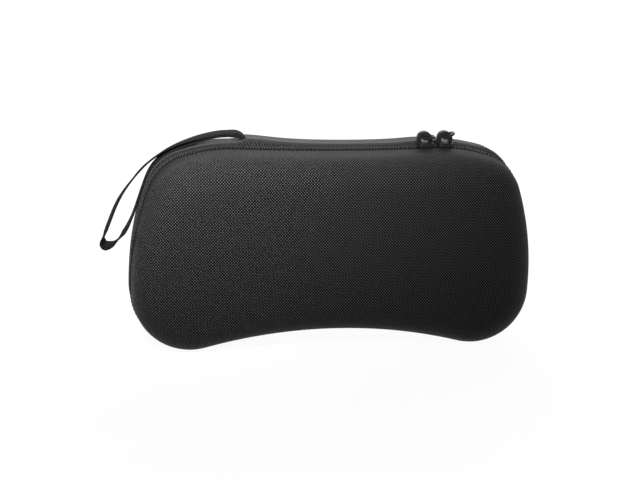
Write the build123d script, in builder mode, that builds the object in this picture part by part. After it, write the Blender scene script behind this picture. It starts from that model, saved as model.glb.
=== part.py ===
# Zip-up case for a handheld game console: two moulded shells joined by a zip with two sliders,
# a fabric spine along the lower edge, a wrist strap, a net pocket and a holding band inside.
# The case stands on the two lobes of its lower edge. X runs across, Y from front to back, Z up.
# The zip's middle lies in the plane y = 0. All sizes are millimetres and degrees.
import os
from math import asin, atan2, cos, degrees, radians, sin, sqrt, tan

from build123d import *

os.makedirs("parts", exist_ok=True)

# Outline of the case, seen from the front: a chain of tangent arcs, the same on both sides
case_width = 260.0
side_centre_height = 41.5  # height of the widest line
side_radius = 195.0
lobe_radius = 37.8
bottom_radius = 322.0  # hollow lower edge between the lobes
corner_radius = 29.0
shoulder_radius = 96.0
shoulder_start = 65.0  # distance from the middle at which the top edge turns down
top_radius = 1800.0  # slightly hollow top edge
top_height = 128.9  # height of the top edge in its middle

# Section of the two shells
shell_depth = 36.0  # from the zip's middle to the outer face
zip_half_width = 7.0  # from the zip's middle to a shell's rim
draft = 5.0
front_round = 20.0
rear_round = 16.0

# Zip: the coil stands on the tapes, and the tapes are sewn into the rims under a binding
layer_gap = 0.3
coil_drop = 0.1  # the coil's top lies this far inside the outline
coil_height = 2.1
coil_seat = 0.1
coil_split = 0.6  # from the zip's middle to a coil's inner side
coil_reach = 5.4  # from the zip's middle to a coil's outer side
tape_thickness = 0.6
tape_split = 0.9
seam_depth = 8.0
binding_thickness = 1.0

# Spine and the ends of the zip, measured from the middle of the lower edge
strip_half_length = 52.0
tape_end_gap = 1.0
stop_length = 2.6
stop_gap = 0.5
stop_height = 1.9

# Sliders
left_slider_x = 58.0
right_slider_x = 71.0
slider_length = 10.0
slider_mouth_width = 13.4
slider_tail_width = 13.0
slider_corner = 2.0
slider_plate = 1.7
slider_clearance = 0.75  # above the coil and on both faces of the tapes
channel_clearance = 0.4  # beside the coil
post_thickness = 0.6
post_length = 3.4
post_inset = 1.0  # from the slider's mouth to the post
bridge_width = 3.6
bridge_height = 6.8
bridge_bar = 2.6
bridge_length = 9.8
bridge_steep_radius = 4.4

# Pull tabs
pull_thickness = 2.4  # at the eye
pull_tip_thickness = 1.0
pull_width = 7.0
pull_reach = 7.6
left_pull_rise = 3.0
right_pull_rise = 24.0
pull_tip_radius = 3.0
pull_play = 0.35  # between the pull and the bridge or the slider's top

# Wrist strap: a flat band in a plane parallel to the front, and the folded tab that holds its ends
strap_width = 10.0
strap_thickness = 1.2
strap_y = 13.0
anchor_x = -60.5
anchor_length = 7.0
anchor_width = 11.0
anchor_height = 5.4
anchor_round = 2.4
anchor_seat = 0.15

# Net pocket in the lid
net_y = 16.5
net_thickness = 0.8
hem_top = 88.0
hem_width = 8.0
hem_thickness = 2.0

# Holding band inside the base: two halves, closed by two pads
band_width = 38.0
band_thickness = 1.0
band_low_margin = 20.0  # above the hollow of the lower edge
band_high_margin = 22.9  # below the top edge
pad_height = 18.0
pad_clear = 8.0  # between the pads and the step of the upper half
pad_thickness = 0.8
pad_margin = 2.0
band_seat = 0.1
band_step = 10.0  # height over which the upper half comes down to the back
band_sewn = 12.0  # sewn end of the upper half

# Stack of the zip's layers, inwards from the outline
tape_inset = coil_drop + coil_height + coil_seat
rim_skin = tape_inset - layer_gap
binding_inset = tape_inset + tape_thickness + layer_gap
wall = binding_inset + binding_thickness
tape_reach = zip_half_width + seam_depth - layer_gap

# Centres of the outline's arcs on the right-hand side, as points of the XZ plane
side_centre = Vector(case_width / 2 - side_radius, side_centre_height)
lobe_shift = sqrt((side_radius - lobe_radius) ** 2 - (side_centre_height - lobe_radius) ** 2)
lobe_centre = Vector(side_centre.X + lobe_shift, lobe_radius)
bottom_centre = Vector(0, lobe_radius - sqrt((bottom_radius + lobe_radius) ** 2 - lobe_centre.X**2))
top_centre = Vector(0, top_height + top_radius)
shoulder_tilt = asin(shoulder_start / top_radius)
shoulder_reach = top_radius + shoulder_radius
shoulder_centre = top_centre + Vector(sin(shoulder_tilt), -cos(shoulder_tilt)) * shoulder_reach
centre_line = shoulder_centre - side_centre
near_radius = side_radius - corner_radius
far_radius = shoulder_radius - corner_radius
along = (near_radius**2 - far_radius**2 + centre_line.length**2) / (2 * centre_line.length)
aside = sqrt(near_radius**2 - along**2)
line_direction = centre_line.normalized()
line_normal = Vector(-line_direction.Y, line_direction.X)
corner_centre = side_centre + line_direction * along + line_normal * aside


def heading(start, end):
    """Angle of the way from one point to another, in degrees from the X axis."""
    way = end - start
    return degrees(atan2(way.Y, way.X))


bottom_turn = heading(bottom_centre, lobe_centre)
lobe_turn = heading(side_centre, lobe_centre)
side_turn = heading(side_centre, corner_centre)
corner_turn = heading(shoulder_centre, corner_centre)
top_turn = heading(shoulder_centre, top_centre)


def outline(inset=0.0, mode=Mode.ADD):
    """Draws the case's outline, moved inwards by inset, as a face of the sketch in hand."""
    with BuildLine() as line:
        CenterArc(bottom_centre, bottom_radius + inset, bottom_turn, 180 - 2 * bottom_turn)
        CenterArc(top_centre, top_radius + inset, 360 - top_turn, 2 * top_turn - 180)
        right_arcs = [
            CenterArc(lobe_centre, lobe_radius - inset, bottom_turn - 180, 180 - bottom_turn + lobe_turn),
            CenterArc(side_centre, side_radius - inset, lobe_turn, side_turn - lobe_turn),
            CenterArc(corner_centre, corner_radius - inset, side_turn, corner_turn - side_turn),
            CenterArc(shoulder_centre, shoulder_radius - inset, corner_turn, top_turn - corner_turn),
        ]
        mirror(right_arcs, about=Plane.YZ)
    make_face(line.edges(), mode=mode)


def moulded_form(base, round_radius, inset):
    """A half's moulded form on its base plane, moved inwards: a tapered wall, a flat face and a round edge."""
    with BuildPart() as form:
        with BuildSketch(base.offset(zip_half_width)):
            outline(inset)
        extrude(amount=shell_depth - zip_half_width - inset, taper=draft)
        outer_face = form.faces().sort_by(Axis((0, 0, 0), base.z_dir))[-1]
        fillet(outer_face.edges(), radius=round_radius - inset)
    return form.part


def ring(base, outer_inset, inner_inset, start, end):
    """Adds a band that follows the outline, from start to end away from the zip's middle."""
    with BuildSketch(base.offset(start)) as section:
        outline(outer_inset)
        outline(inner_inset, mode=Mode.SUBTRACT)
    extrude(section.sketch, amount=end - start)


def lower_edge(half_length, mode):
    """Cuts away, or keeps, what lies on the lower edge within half_length of its middle."""
    Box(2 * half_length, 4 * shell_depth, 2 * side_centre_height, mode=mode)


front_outside = moulded_form(Plane.front, front_round, 0)
front_inside = moulded_form(Plane.front, front_round, wall)
rear_outside = moulded_form(Plane.back, rear_round, 0)
rear_inside = moulded_form(Plane.back, rear_round, wall)

# Lid: the rim is pressed thinner inside, where the tape and its binding lie
with BuildPart() as front_shell:
    add(front_outside)
    add(front_inside, mode=Mode.SUBTRACT)
    with BuildSketch(Plane.front.offset(zip_half_width)):
        outline(rim_skin)
    extrude(amount=seam_depth, mode=Mode.SUBTRACT)
front_shell.part.label = "front_shell"
export_step(front_shell.part, "parts/front_shell.step")

# Base, with the same rim
with BuildPart() as rear_shell:
    add(rear_outside)
    add(rear_inside, mode=Mode.SUBTRACT)
    with BuildSketch(Plane.back.offset(zip_half_width)):
        outline(rim_skin)
    extrude(amount=seam_depth, mode=Mode.SUBTRACT)
rear_shell.part.label = "rear_shell"
export_step(rear_shell.part, "parts/rear_shell.step")

# Tapes, sewn into the rims and open along the spine
tape_end = strip_half_length + tape_end_gap

with BuildPart() as front_zip_tape:
    ring(Plane.front, tape_inset, tape_inset + tape_thickness, tape_split, tape_reach)
    lower_edge(tape_end, Mode.SUBTRACT)
front_zip_tape.part.label = "front_zip_tape"
export_step(front_zip_tape.part, "parts/front_zip_tape.step")

with BuildPart() as rear_zip_tape:
    ring(Plane.back, tape_inset, tape_inset + tape_thickness, tape_split, tape_reach)
    lower_edge(tape_end, Mode.SUBTRACT)
rear_zip_tape.part.label = "rear_zip_tape"
export_step(rear_zip_tape.part, "parts/rear_zip_tape.step")

# Coil halves, which end at the stops
stop_start = tape_end + stop_gap
coil_end = stop_start + stop_length + stop_gap

with BuildPart() as front_zip_coil:
    ring(Plane.front, coil_drop, coil_drop + coil_height, coil_split, coil_reach)
    lower_edge(coil_end, Mode.SUBTRACT)
front_zip_coil.part.label = "front_zip_coil"
export_step(front_zip_coil.part, "parts/front_zip_coil.step")

with BuildPart() as rear_zip_coil:
    ring(Plane.back, coil_drop, coil_drop + coil_height, coil_split, coil_reach)
    lower_edge(coil_end, Mode.SUBTRACT)
rear_zip_coil.part.label = "rear_zip_coil"
export_step(rear_zip_coil.part, "parts/rear_zip_coil.step")

# Stops across the two ends of the coil
with BuildPart() as zip_end_stops:
    stop_middle = stop_start + stop_length / 2
    with Locations((-stop_middle, 0), (stop_middle, 0)):
        Box(stop_length, 2 * coil_reach, 2 * side_centre_height)
    with BuildSketch(Plane.front.offset(-coil_reach)):
        outline(rim_skin - stop_height)
        outline(rim_skin, mode=Mode.SUBTRACT)
    extrude(amount=2 * coil_reach, mode=Mode.INTERSECT)
zip_end_stops.part.label = "zip_end_stops"
export_step(zip_end_stops.part, "parts/zip_end_stops.step")

# Fabric spine between the ends of the zip, sewn into both rims
with BuildPart() as hinge_strip:
    with BuildSketch(Plane.front.offset(-tape_reach)):
        outline(tape_inset)
        outline(tape_inset + tape_thickness, mode=Mode.SUBTRACT)
    extrude(amount=2 * tape_reach)
    lower_edge(strip_half_length, Mode.INTERSECT)
hinge_strip.part.label = "hinge_strip"
export_step(hinge_strip.part, "parts/hinge_strip.step")

# Bindings over the sewn edges, flush with the inner walls
binding_start = zip_half_width + layer_gap
binding_end = zip_half_width + seam_depth - layer_gap

with BuildPart() as front_binding:
    ring(Plane.front, binding_inset, wall, binding_start, binding_end)
front_binding.part.label = "front_binding"
export_step(front_binding.part, "parts/front_binding.step")

with BuildPart() as rear_binding:
    ring(Plane.back, binding_inset, wall, binding_start, binding_end)
rear_binding.part.label = "rear_binding"
export_step(rear_binding.part, "parts/rear_binding.step")


# Sliders: their seats are planes that touch the outline, with X along the zip and Z outwards
def seat_on_arc(centre, radius, x, hollow):
    """Plane on an arc of the outline at a distance x from the case's middle."""
    lean = asin((x - centre.X) / radius)
    if hollow:
        spot = centre + Vector(sin(lean), -cos(lean)) * radius
        slope = lean
    else:
        spot = centre + Vector(sin(lean), cos(lean)) * radius
        slope = -lean
    return Plane((spot.X, 0, spot.Y), x_dir=(cos(slope), 0, sin(slope)), z_dir=(-sin(slope), 0, cos(slope)))


left_seat = seat_on_arc(top_centre, top_radius, left_slider_x, hollow=True)
right_seat = seat_on_arc(shoulder_centre, shoulder_radius, right_slider_x, hollow=False)

channel_top = slider_clearance - coil_drop
tape_slot_top = slider_clearance - tape_inset
channel_bottom = -(tape_inset + tape_thickness + slider_clearance)
slider_top = channel_top + slider_plate
slider_bottom = channel_bottom - slider_plate
channel_half_width = coil_reach + channel_clearance


def arch(shrink, mode):
    """Draws the bridge's side view, steep on the left and sloping to the right, moved inwards by shrink."""
    left = -bridge_length / 2 + shrink
    right = bridge_length / 2 - shrink
    peak = slider_top + bridge_height - shrink
    steep = bridge_steep_radius - shrink
    foot = slider_top - slider_plate / 2
    with BuildLine() as line:
        rise = Line((left, foot), (left, peak - steep))
        shoulder = CenterArc((left + steep, peak - steep), steep, 180, -90)
        slope = TangentArc(shoulder @ 1, (right, slider_top), tangent=shoulder % 1)
        Polyline(slope @ 1, (right, foot), rise @ 0)
    make_face(line.edges(), mode=mode)


def side_plane(seat):
    """Plane of a slider's side view, with X along the zip and Y outwards."""
    return Plane(seat.origin, x_dir=seat.x_dir, z_dir=-seat.y_dir)


def slider(seat, mouth):
    """A slider on its seat. Its wide mouth looks along the zip (mouth = 1) or against it (mouth = -1)."""
    half_length = slider_length / 2
    mouth_half = slider_mouth_width / 2
    tail_half = slider_tail_width / 2
    with BuildPart() as body:
        with BuildSketch(seat.offset(slider_bottom)) as plan:
            with BuildLine():
                Polyline(
                    (mouth * half_length, mouth_half),
                    (-mouth * half_length, tail_half),
                    (-mouth * half_length, -tail_half),
                    (mouth * half_length, -mouth_half),
                    close=True,
                )
            make_face()
            fillet(plan.vertices(), radius=slider_corner)
        extrude(amount=slider_top - slider_bottom)
        with BuildSketch(Plane(seat.origin, x_dir=seat.y_dir, z_dir=seat.x_dir)):
            with Locations((0, (channel_top + channel_bottom) / 2)):
                Rectangle(2 * channel_half_width, channel_top - channel_bottom)
            with Locations((0, (tape_slot_top + channel_bottom) / 2)):
                Rectangle(2 * slider_mouth_width, tape_slot_top - channel_bottom)
        extrude(amount=slider_length, both=True, mode=Mode.SUBTRACT)
        with BuildSketch(side_plane(seat)):
            with Locations((mouth * (half_length - post_inset - post_length / 2), (slider_top + slider_bottom) / 2)):
                Rectangle(post_length, slider_top - slider_bottom - slider_plate)
        extrude(amount=post_thickness / 2, both=True)
        with BuildSketch(side_plane(seat)):
            arch(0, Mode.ADD)
            arch(bridge_bar, Mode.SUBTRACT)
        extrude(amount=bridge_width / 2, both=True)
    return body.part


# The pull's eye hangs close under the peak of the bridge
pivot_along = -bridge_length / 2 + bridge_steep_radius
eye_radius = pull_thickness / 2
pivot_height = slider_top + bridge_height - bridge_bar - pull_play - eye_radius
slot_start = eye_radius - pull_play  # short of the round, so that the eye's corners clear the bridge
slot_end = bridge_length / 2 - pivot_along + pull_play


def pivot_of(seat):
    """The point about which a slider's pull turns."""
    return seat.origin + seat.x_dir * pivot_along + seat.z_dir * pivot_height


def pull(seat, rise):
    """A pull tab along the zip, tip up by rise: a fork with its eye under the bridge, thinner to a round tip."""
    pivot = pivot_of(seat)
    lift = radians(rise)
    reach = seat.x_dir * cos(lift) + seat.z_dir * sin(lift)
    face = seat.z_dir * cos(lift) - seat.x_dir * sin(lift)
    with BuildPart() as tab:
        with BuildSketch(Plane(pivot, x_dir=reach, z_dir=face)) as plan:
            with Locations(((pull_reach - eye_radius) / 2, 0)):
                Rectangle(pull_reach + eye_radius, pull_width)
            fillet(plan.vertices().group_by(Axis.X)[-1], radius=pull_tip_radius)
            with Locations(((slot_start + slot_end) / 2, 0)):
                Rectangle(slot_end - slot_start, bridge_width + 2 * pull_play, mode=Mode.SUBTRACT)
        extrude(amount=pull_thickness / 2, both=True)
        with BuildSketch(Plane(pivot, x_dir=reach, z_dir=-seat.y_dir)) as side_view:
            Circle(eye_radius)
            with Locations((pull_reach - pull_tip_thickness / 2, 0)):
                Circle(pull_tip_thickness / 2)
            make_hull(side_view.edges())
        extrude(amount=pull_width, both=True, mode=Mode.INTERSECT)
    return tab.part


left_slider = slider(left_seat, 1)
left_slider.label = "left_slider"
export_step(left_slider, "parts/left_slider.step")

right_slider = slider(right_seat, -1)
right_slider.label = "right_slider"
export_step(right_slider, "parts/right_slider.step")

left_pull = pull(left_seat, left_pull_rise)
left_pull.label = "left_pull"
export_step(left_pull, "parts/left_pull.step")

right_pull = pull(right_seat, right_pull_rise)
right_pull.label = "right_pull"
export_step(right_pull, "parts/right_pull.step")

# Folded tab on the base's top wall that holds both ends of the strap; it follows the wall's draft
wall_drop = (strap_y - zip_half_width) * tan(radians(draft))
anchor_seat_plane = seat_on_arc(top_centre, top_radius, anchor_x, hollow=True)
anchor_spot = anchor_seat_plane.origin + Vector(0, strap_y, 0) - anchor_seat_plane.z_dir * wall_drop
anchor_up = anchor_seat_plane.z_dir * cos(radians(draft)) + Vector(0, sin(radians(draft)), 0)

with BuildPart() as strap_anchor:
    with BuildSketch(Plane(anchor_spot, x_dir=anchor_seat_plane.x_dir, z_dir=anchor_up).offset(anchor_seat)):
        Rectangle(anchor_length, anchor_width)
    extrude(amount=anchor_height)
    free_end = strap_anchor.edges().filter_by(Axis.Y, tolerance=draft).group_by(Axis.Z)[-1]
    fillet(free_end.sort_by(Axis.X)[-1], radius=anchor_round)
strap_anchor.part.label = "strap_anchor"
export_step(strap_anchor.part, "parts/strap_anchor.step")

# Route of the strap in its plane, from the tab out to the loop's end and back along the wall
strap_route = [
    (-64.3, 134.0),
    (-73.0, 136.2),
    (-83.0, 135.2),
    (-93.0, 132.6),
    (-103.4, 128.6),
    (-113.1, 122.1),
    (-121.9, 113.4),
    (-129.8, 103.2),
    (-136.4, 92.4),
    (-141.6, 81.2),
    (-145.3, 70.4),
    (-147.4, 63.9),
    (-146.4, 59.8),
    (-142.9, 58.5),
    (-139.5, 61.0),
    (-136.0, 66.3),
    (-131.6, 74.4),
    (-128.2, 83.6),
    (-125.9, 93.2),
    (-123.2, 102.8),
    (-119.2, 111.9),
    (-112.9, 119.7),
    (-104.4, 125.4),
    (-94.6, 128.8),
    (-84.0, 131.0),
    (-74.0, 132.0),
    (-64.3, 131.3),
]


def route_radii(points):
    """Largest arc at each corner of a route that its two runs leave room for."""
    radii = []
    for before, corner, after in zip(points, points[1:], points[2:]):
        first = Vector(*corner) - Vector(*before)
        second = Vector(*after) - Vector(*corner)
        turn = radians(first.get_angle(second))
        radii.append(0.45 * min(first.length, second.length) / tan(turn / 2))
    return radii


strap_radii = route_radii(strap_route)
with BuildPart() as wrist_strap:
    with BuildSketch(Plane.front.offset(-strap_y)):
        with BuildLine():
            strap_path = FilletPolyline(*strap_route, radius=strap_radii)
        trace(strap_path, line_width=strap_thickness)
    extrude(amount=strap_width / 2, both=True)
wrist_strap.part.label = "wrist_strap"
export_step(wrist_strap.part, "parts/wrist_strap.step")

# Net pocket in the lid and its elastic hem
net_form = moulded_form(Plane.front, front_round, wall + layer_gap)

with BuildPart() as mesh_pocket:
    add(net_form)
    with Locations((0, -net_y - net_thickness / 2, 0)):
        Box(case_width, net_thickness, 2 * (hem_top - hem_width), mode=Mode.INTERSECT)
mesh_pocket.part.label = "mesh_pocket"
export_step(mesh_pocket.part, "parts/mesh_pocket.step")

with BuildPart() as pocket_hem:
    add(net_form)
    with Locations((0, -net_y - net_thickness / 2, hem_top - hem_width / 2)):
        Box(case_width, hem_thickness, hem_width, mode=Mode.INTERSECT)
pocket_hem.part.label = "pocket_hem"
export_step(pocket_hem.part, "parts/pocket_hem.step")

# Holding band, flat on the inside of the back: lower half, two pads, upper half
back_inside = shell_depth - wall
lower_face = back_inside - band_seat - band_thickness
loop_face = lower_face - band_seat - pad_thickness
hook_face = loop_face - band_seat - pad_thickness
upper_face = hook_face - band_seat - band_thickness
band_low = bottom_centre.Y + bottom_radius + band_low_margin
band_high = top_height - band_high_margin
sewn_low = band_high - band_sewn
pad_high = sewn_low - band_step - pad_clear
pad_low = pad_high - pad_height

with BuildPart() as lower_holding_strap:
    with BuildSketch(Plane.back.offset(lower_face)):
        with Locations((0, (band_low + pad_high) / 2)):
            Rectangle(band_width, pad_high - band_low)
    extrude(amount=band_thickness)
lower_holding_strap.part.label = "lower_holding_strap"
export_step(lower_holding_strap.part, "parts/lower_holding_strap.step")

with BuildPart() as loop_pad:
    with BuildSketch(Plane.back.offset(loop_face)):
        with Locations((0, (pad_low + pad_high) / 2)):
            RectangleRounded(band_width - 2 * pad_margin, pad_height - pad_margin, pad_margin)
    extrude(amount=pad_thickness)
loop_pad.part.label = "loop_pad"
export_step(loop_pad.part, "parts/loop_pad.step")

with BuildPart() as hook_pad:
    with BuildSketch(Plane.back.offset(hook_face)):
        with Locations((0, (pad_low + pad_high) / 2)):
            RectangleRounded(band_width - 2 * pad_margin, pad_height - pad_margin, pad_margin)
    extrude(amount=pad_thickness)
hook_pad.part.label = "hook_pad"
export_step(hook_pad.part, "parts/hook_pad.step")

with BuildPart() as upper_holding_strap:
    with BuildSketch(Plane.YZ):
        with BuildLine():
            Polyline(
                (upper_face, pad_low),
                (upper_face + band_thickness, pad_low),
                (upper_face + band_thickness, sewn_low - band_step),
                (lower_face + band_thickness, sewn_low),
                (lower_face + band_thickness, band_high),
                (lower_face, band_high),
                (lower_face, sewn_low),
                (upper_face, sewn_low - band_step),
                close=True,
            )
        make_face()
    extrude(amount=band_width / 2, both=True)
upper_holding_strap.part.label = "upper_holding_strap"
export_step(upper_holding_strap.part, "parts/upper_holding_strap.step")

# Figures for the joints and the strap
print("strap radii", [round(radius, 1) for radius in strap_radii])
strap_bulk = strap_path.length * strap_width * strap_thickness
print("strap length", round(strap_path.length, 1))
print("strap volume", round(wrist_strap.part.volume, 1), "section times length", round(strap_bulk, 1))
print("top centre", top_centre, "shoulder centre", shoulder_centre)
print("left pivot", pivot_of(left_seat), "right pivot", pivot_of(right_seat))
print("side centre", side_centre, "lobe centre", lobe_centre)
print("corner centre", corner_centre, "bottom centre", bottom_centre)
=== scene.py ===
"""Looks of a zip-up case for a handheld game console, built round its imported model.

All lengths are metres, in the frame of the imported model: X runs across the case, Y from the lid to
the back, Z up, and the zip's middle lies in the plane y = 0.
"""

import logging
import math
from dataclasses import dataclass
from enum import Enum

import bmesh
import bpy
import numpy as np
from mathutils import Matrix, Vector


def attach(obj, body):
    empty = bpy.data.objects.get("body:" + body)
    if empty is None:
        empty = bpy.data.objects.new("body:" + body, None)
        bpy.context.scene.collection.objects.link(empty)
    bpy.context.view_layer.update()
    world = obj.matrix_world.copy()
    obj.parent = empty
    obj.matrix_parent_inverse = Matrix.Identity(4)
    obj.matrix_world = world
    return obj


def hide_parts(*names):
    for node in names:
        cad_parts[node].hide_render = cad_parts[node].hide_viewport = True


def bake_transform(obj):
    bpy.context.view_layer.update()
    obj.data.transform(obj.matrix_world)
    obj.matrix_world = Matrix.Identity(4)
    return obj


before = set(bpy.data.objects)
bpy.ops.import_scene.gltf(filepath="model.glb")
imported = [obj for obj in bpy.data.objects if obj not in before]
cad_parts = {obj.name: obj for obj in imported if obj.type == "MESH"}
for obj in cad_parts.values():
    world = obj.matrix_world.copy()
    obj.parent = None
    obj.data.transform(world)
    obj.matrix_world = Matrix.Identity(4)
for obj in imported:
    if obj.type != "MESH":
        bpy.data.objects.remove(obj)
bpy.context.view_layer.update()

log = logging.getLogger("console_case")
Array = np.ndarray
Colour = tuple[float, float, float]
Point = tuple[float, float, float]
Pair = tuple[float, float]
Material = bpy.types.Material
Piece = bpy.types.Object
Socket = bpy.types.NodeSocket
MM = 0.001
X_AXIS, Y_AXIS, Z_AXIS = np.eye(3)
UV_NAME = "cloth"
# Point attribute: the cloth's pressed share, plus the painted highlight along the rims and the hem.
PRESS_AND_HIGHLIGHT_NAME = "press"
MERGE_DISTANCE = 1e-7
SHARP_ANGLE = math.radians(40)
SOFT_EDGE = 0.45  # radius of a band's edges, as a share of its thickness
WHITE = (1.0, 1.0, 1.0, 1.0)
CLOUDS = (0.3, 0.7)  # most of a noise's range
FAR = 20.0  # distance in reaches, past which a bulge is flat


class Side(Enum):
    """The case's two halves, with the sign of their Y."""

    LID = -1
    BASE = 1

    @property
    def body(self) -> str:
        """Name of the body that carries this half."""
        return "lid" if self is Side.LID else "base"

    @property
    def word(self) -> str:
        """Word that this half's pieces start with."""
        return "front" if self is Side.LID else "rear"


# Shader nodes


class Value:
    """A number that changes over a surface: an output socket with arithmetic."""

    def __init__(self, graph: "Graph", socket: Socket) -> None:
        """Wraps one output socket of a graph."""
        self.graph = graph
        self.socket = socket

    def _math(self, operation: str, *operands: "Value | float") -> "Value":
        """Adds the Math node of one operation on the given operands."""
        return self.graph.value("ShaderNodeMath", {"operation": operation}, dict(enumerate(operands)))

    def __add__(self, other: "Value | float") -> "Value":
        """Sum."""
        return self._math("ADD", self, other)

    def __radd__(self, other: float) -> "Value":
        """Sum, with the number first."""
        return self._math("ADD", other, self)

    def __sub__(self, other: "Value | float") -> "Value":
        """Difference."""
        return self._math("SUBTRACT", self, other)

    def __rsub__(self, other: float) -> "Value":
        """Difference, with the number first."""
        return self._math("SUBTRACT", other, self)

    def __mul__(self, other: "Value | float") -> "Value":
        """Product."""
        return self._math("MULTIPLY", self, other)

    def __rmul__(self, other: float) -> "Value":
        """Product, with the number first."""
        return self._math("MULTIPLY", other, self)

    def __truediv__(self, other: "Value | float") -> "Value":
        """Quotient."""
        return self._math("DIVIDE", self, other)

    def __gt__(self, other: "Value | float") -> "Value":
        """One where this value is the larger, and nought elsewhere."""
        return self._math("GREATER_THAN", self, other)

    def floor(self) -> "Value":
        """Whole part."""
        return self._math("FLOOR", self)

    def fraction(self) -> "Value":
        """Part after the point."""
        return self._math("FRACT", self)

    def absolute(self) -> "Value":
        """Size without its sign."""
        return self._math("ABSOLUTE", self)

    def cosine(self) -> "Value":
        """Cosine of an angle in radians."""
        return self._math("COSINE", self)

    def largest(self, other: "Value | float") -> "Value":
        """The larger of two values."""
        return self._math("MAXIMUM", self, other)

    def parity(self) -> "Value":
        """One for odd whole numbers and nought for even ones."""
        return (self * 0.5).fraction() * 2.0

    def ramp(self, low: float, high: float, start: float = 0.0, end: float = 1.0) -> "Value":
        """Eases from start to end as this value goes from low to high.

        Args:
            low: Value at which the ease starts.
            high: Value at which it ends.
            start: Result up to low.
            end: Result from high on.

        Returns:
            The eased value.
        """
        settings = {"interpolation_type": "SMOOTHSTEP"}
        return self.graph.value("ShaderNodeMapRange", settings, {0: self, 1: low, 2: high, 3: start, 4: end})


class Graph:
    """The nodes of one material, or of the world."""

    def __init__(self, owner: "str | bpy.types.World") -> None:
        """Starts the graph.

        Args:
            owner: Name of a new material, or the world.
        """
        self.owner = bpy.data.materials.new(owner) if isinstance(owner, str) else owner
        self.owner.use_nodes = True
        self.tree = self.owner.node_tree
        self.shader = self.tree.nodes.get("Principled BSDF")

    def node(self, kind: str, settings: dict | None = None, inputs: dict | None = None) -> bpy.types.Node:
        """Adds a node.

        Args:
            kind: Blender's name of the node's type.
            settings: Properties of the node, set first.
            inputs: Values or links of its sockets, by name or number.

        Returns:
            The new node.
        """
        made = self.tree.nodes.new(kind)
        for key, setting in (settings or {}).items():
            setattr(made, key, setting)
        for key, given in (inputs or {}).items():
            self.feed(made.inputs[key], given)
        return made

    def feed(self, socket: Socket, given: object) -> None:
        """Links a value or a socket to a socket, or sets a plain number or colour on it.

        Args:
            socket: The input socket.
            given: What it gets.
        """
        if isinstance(given, Value):
            given = given.socket
        if isinstance(given, Socket):
            self.tree.links.new(given, socket)
        else:
            socket.default_value = given

    def value(
        self, kind: str, settings: dict | None = None, inputs: dict | None = None, output: int = 0
    ) -> Value:
        """Adds a node and returns one of its outputs as a value."""
        return Value(self, self.node(kind, settings, inputs).outputs[output])

    def cloth_place(self) -> tuple[Value, Value]:
        """Reads the piece's own cloth map.

        Returns:
            The map's two coordinates, in metres.
        """
        place = self.node("ShaderNodeUVMap", {"uv_map": UV_NAME})
        parts = self.node("ShaderNodeSeparateXYZ", None, {0: place.outputs[0]})
        return Value(self, parts.outputs[0]), Value(self, parts.outputs[1])

    def attribute(self, name: str) -> Value:
        """A number kept on the mesh's points."""
        return self.value("ShaderNodeAttribute", {"attribute_name": name}, None, 2)

    def noise(self, scale: float, detail: float = 3.0) -> Value:
        """Cloudy noise on Object coordinates, about 0.5 on average.

        Args:
            scale: Clouds in a metre.
            detail: How many finer layers it has.

        Returns:
            The noise.
        """
        place = self.node("ShaderNodeTexCoord").outputs["Object"]
        return self.value("ShaderNodeTexNoise", None, {"Vector": place, "Scale": scale, "Detail": detail})

    def mix(self, factor: Value | float, first: object, second: object) -> Socket:
        """Mixes two colours.

        Args:
            factor: Share of the second colour.
            first: Colour or socket at factor 0.
            second: Colour or socket at factor 1.

        Returns:
            The mixed colour's socket.
        """
        made = self.node("ShaderNodeMix", {"data_type": "RGBA"}, {0: factor, 6: first, 7: second})
        return made.outputs[2]

    def bump(self, height: Value, distance: float, strength: float = 1.0) -> Socket:
        """Normal of a surface that stands up by height times distance."""
        inputs = {"Height": height, "Distance": distance, "Strength": strength}
        return self.node("ShaderNodeBump", None, inputs).outputs[0]

    def shade(self, **sockets: object) -> Material:
        """Sets sockets of the material's shader.

        Args:
            sockets: What each socket gets, under its name with underscores for blanks.

        Returns:
            The material.
        """
        for name, given in sockets.items():
            self.feed(self.shader.inputs[name.replace("_", " ")], given)
        return self.owner

    def seen(self) -> Value:
        """Marks the rays that the camera sees, straight or by way of a gloss or a glass.

        Returns:
            One for such rays, and nought for light.
        """
        path = self.node("ShaderNodeLightPath")
        camera, glossy, through = (
            Value(self, path.outputs[f"Is {kind} Ray"]) for kind in ("Camera", "Glossy", "Transmission")
        )
        return camera.largest(glossy).largest(through)

    def show(self, output: str, factor: Value, first: bpy.types.Node, second: bpy.types.Node) -> None:
        """Feeds the output node with two shaders, mixed by a factor."""
        mixed = self.node("ShaderNodeMixShader", None, {0: factor, 1: first.outputs[0], 2: second.outputs[0]})
        self.feed(self.tree.nodes[output].inputs[0], mixed.outputs[0])


def rgba(colour: Colour, factor: float = 1.0) -> tuple[float, float, float, float]:
    """A colour as a socket takes it, brightened or darkened by a factor."""
    return (*(part * factor for part in colour), 1.0)


def tones(colour: Colour, factors: tuple[float, ...]) -> list[tuple[float, float, float, float]]:
    """A colour as sockets take it, brightened or darkened by each of some factors."""
    return [rgba(colour, factor) for factor in factors]


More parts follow.
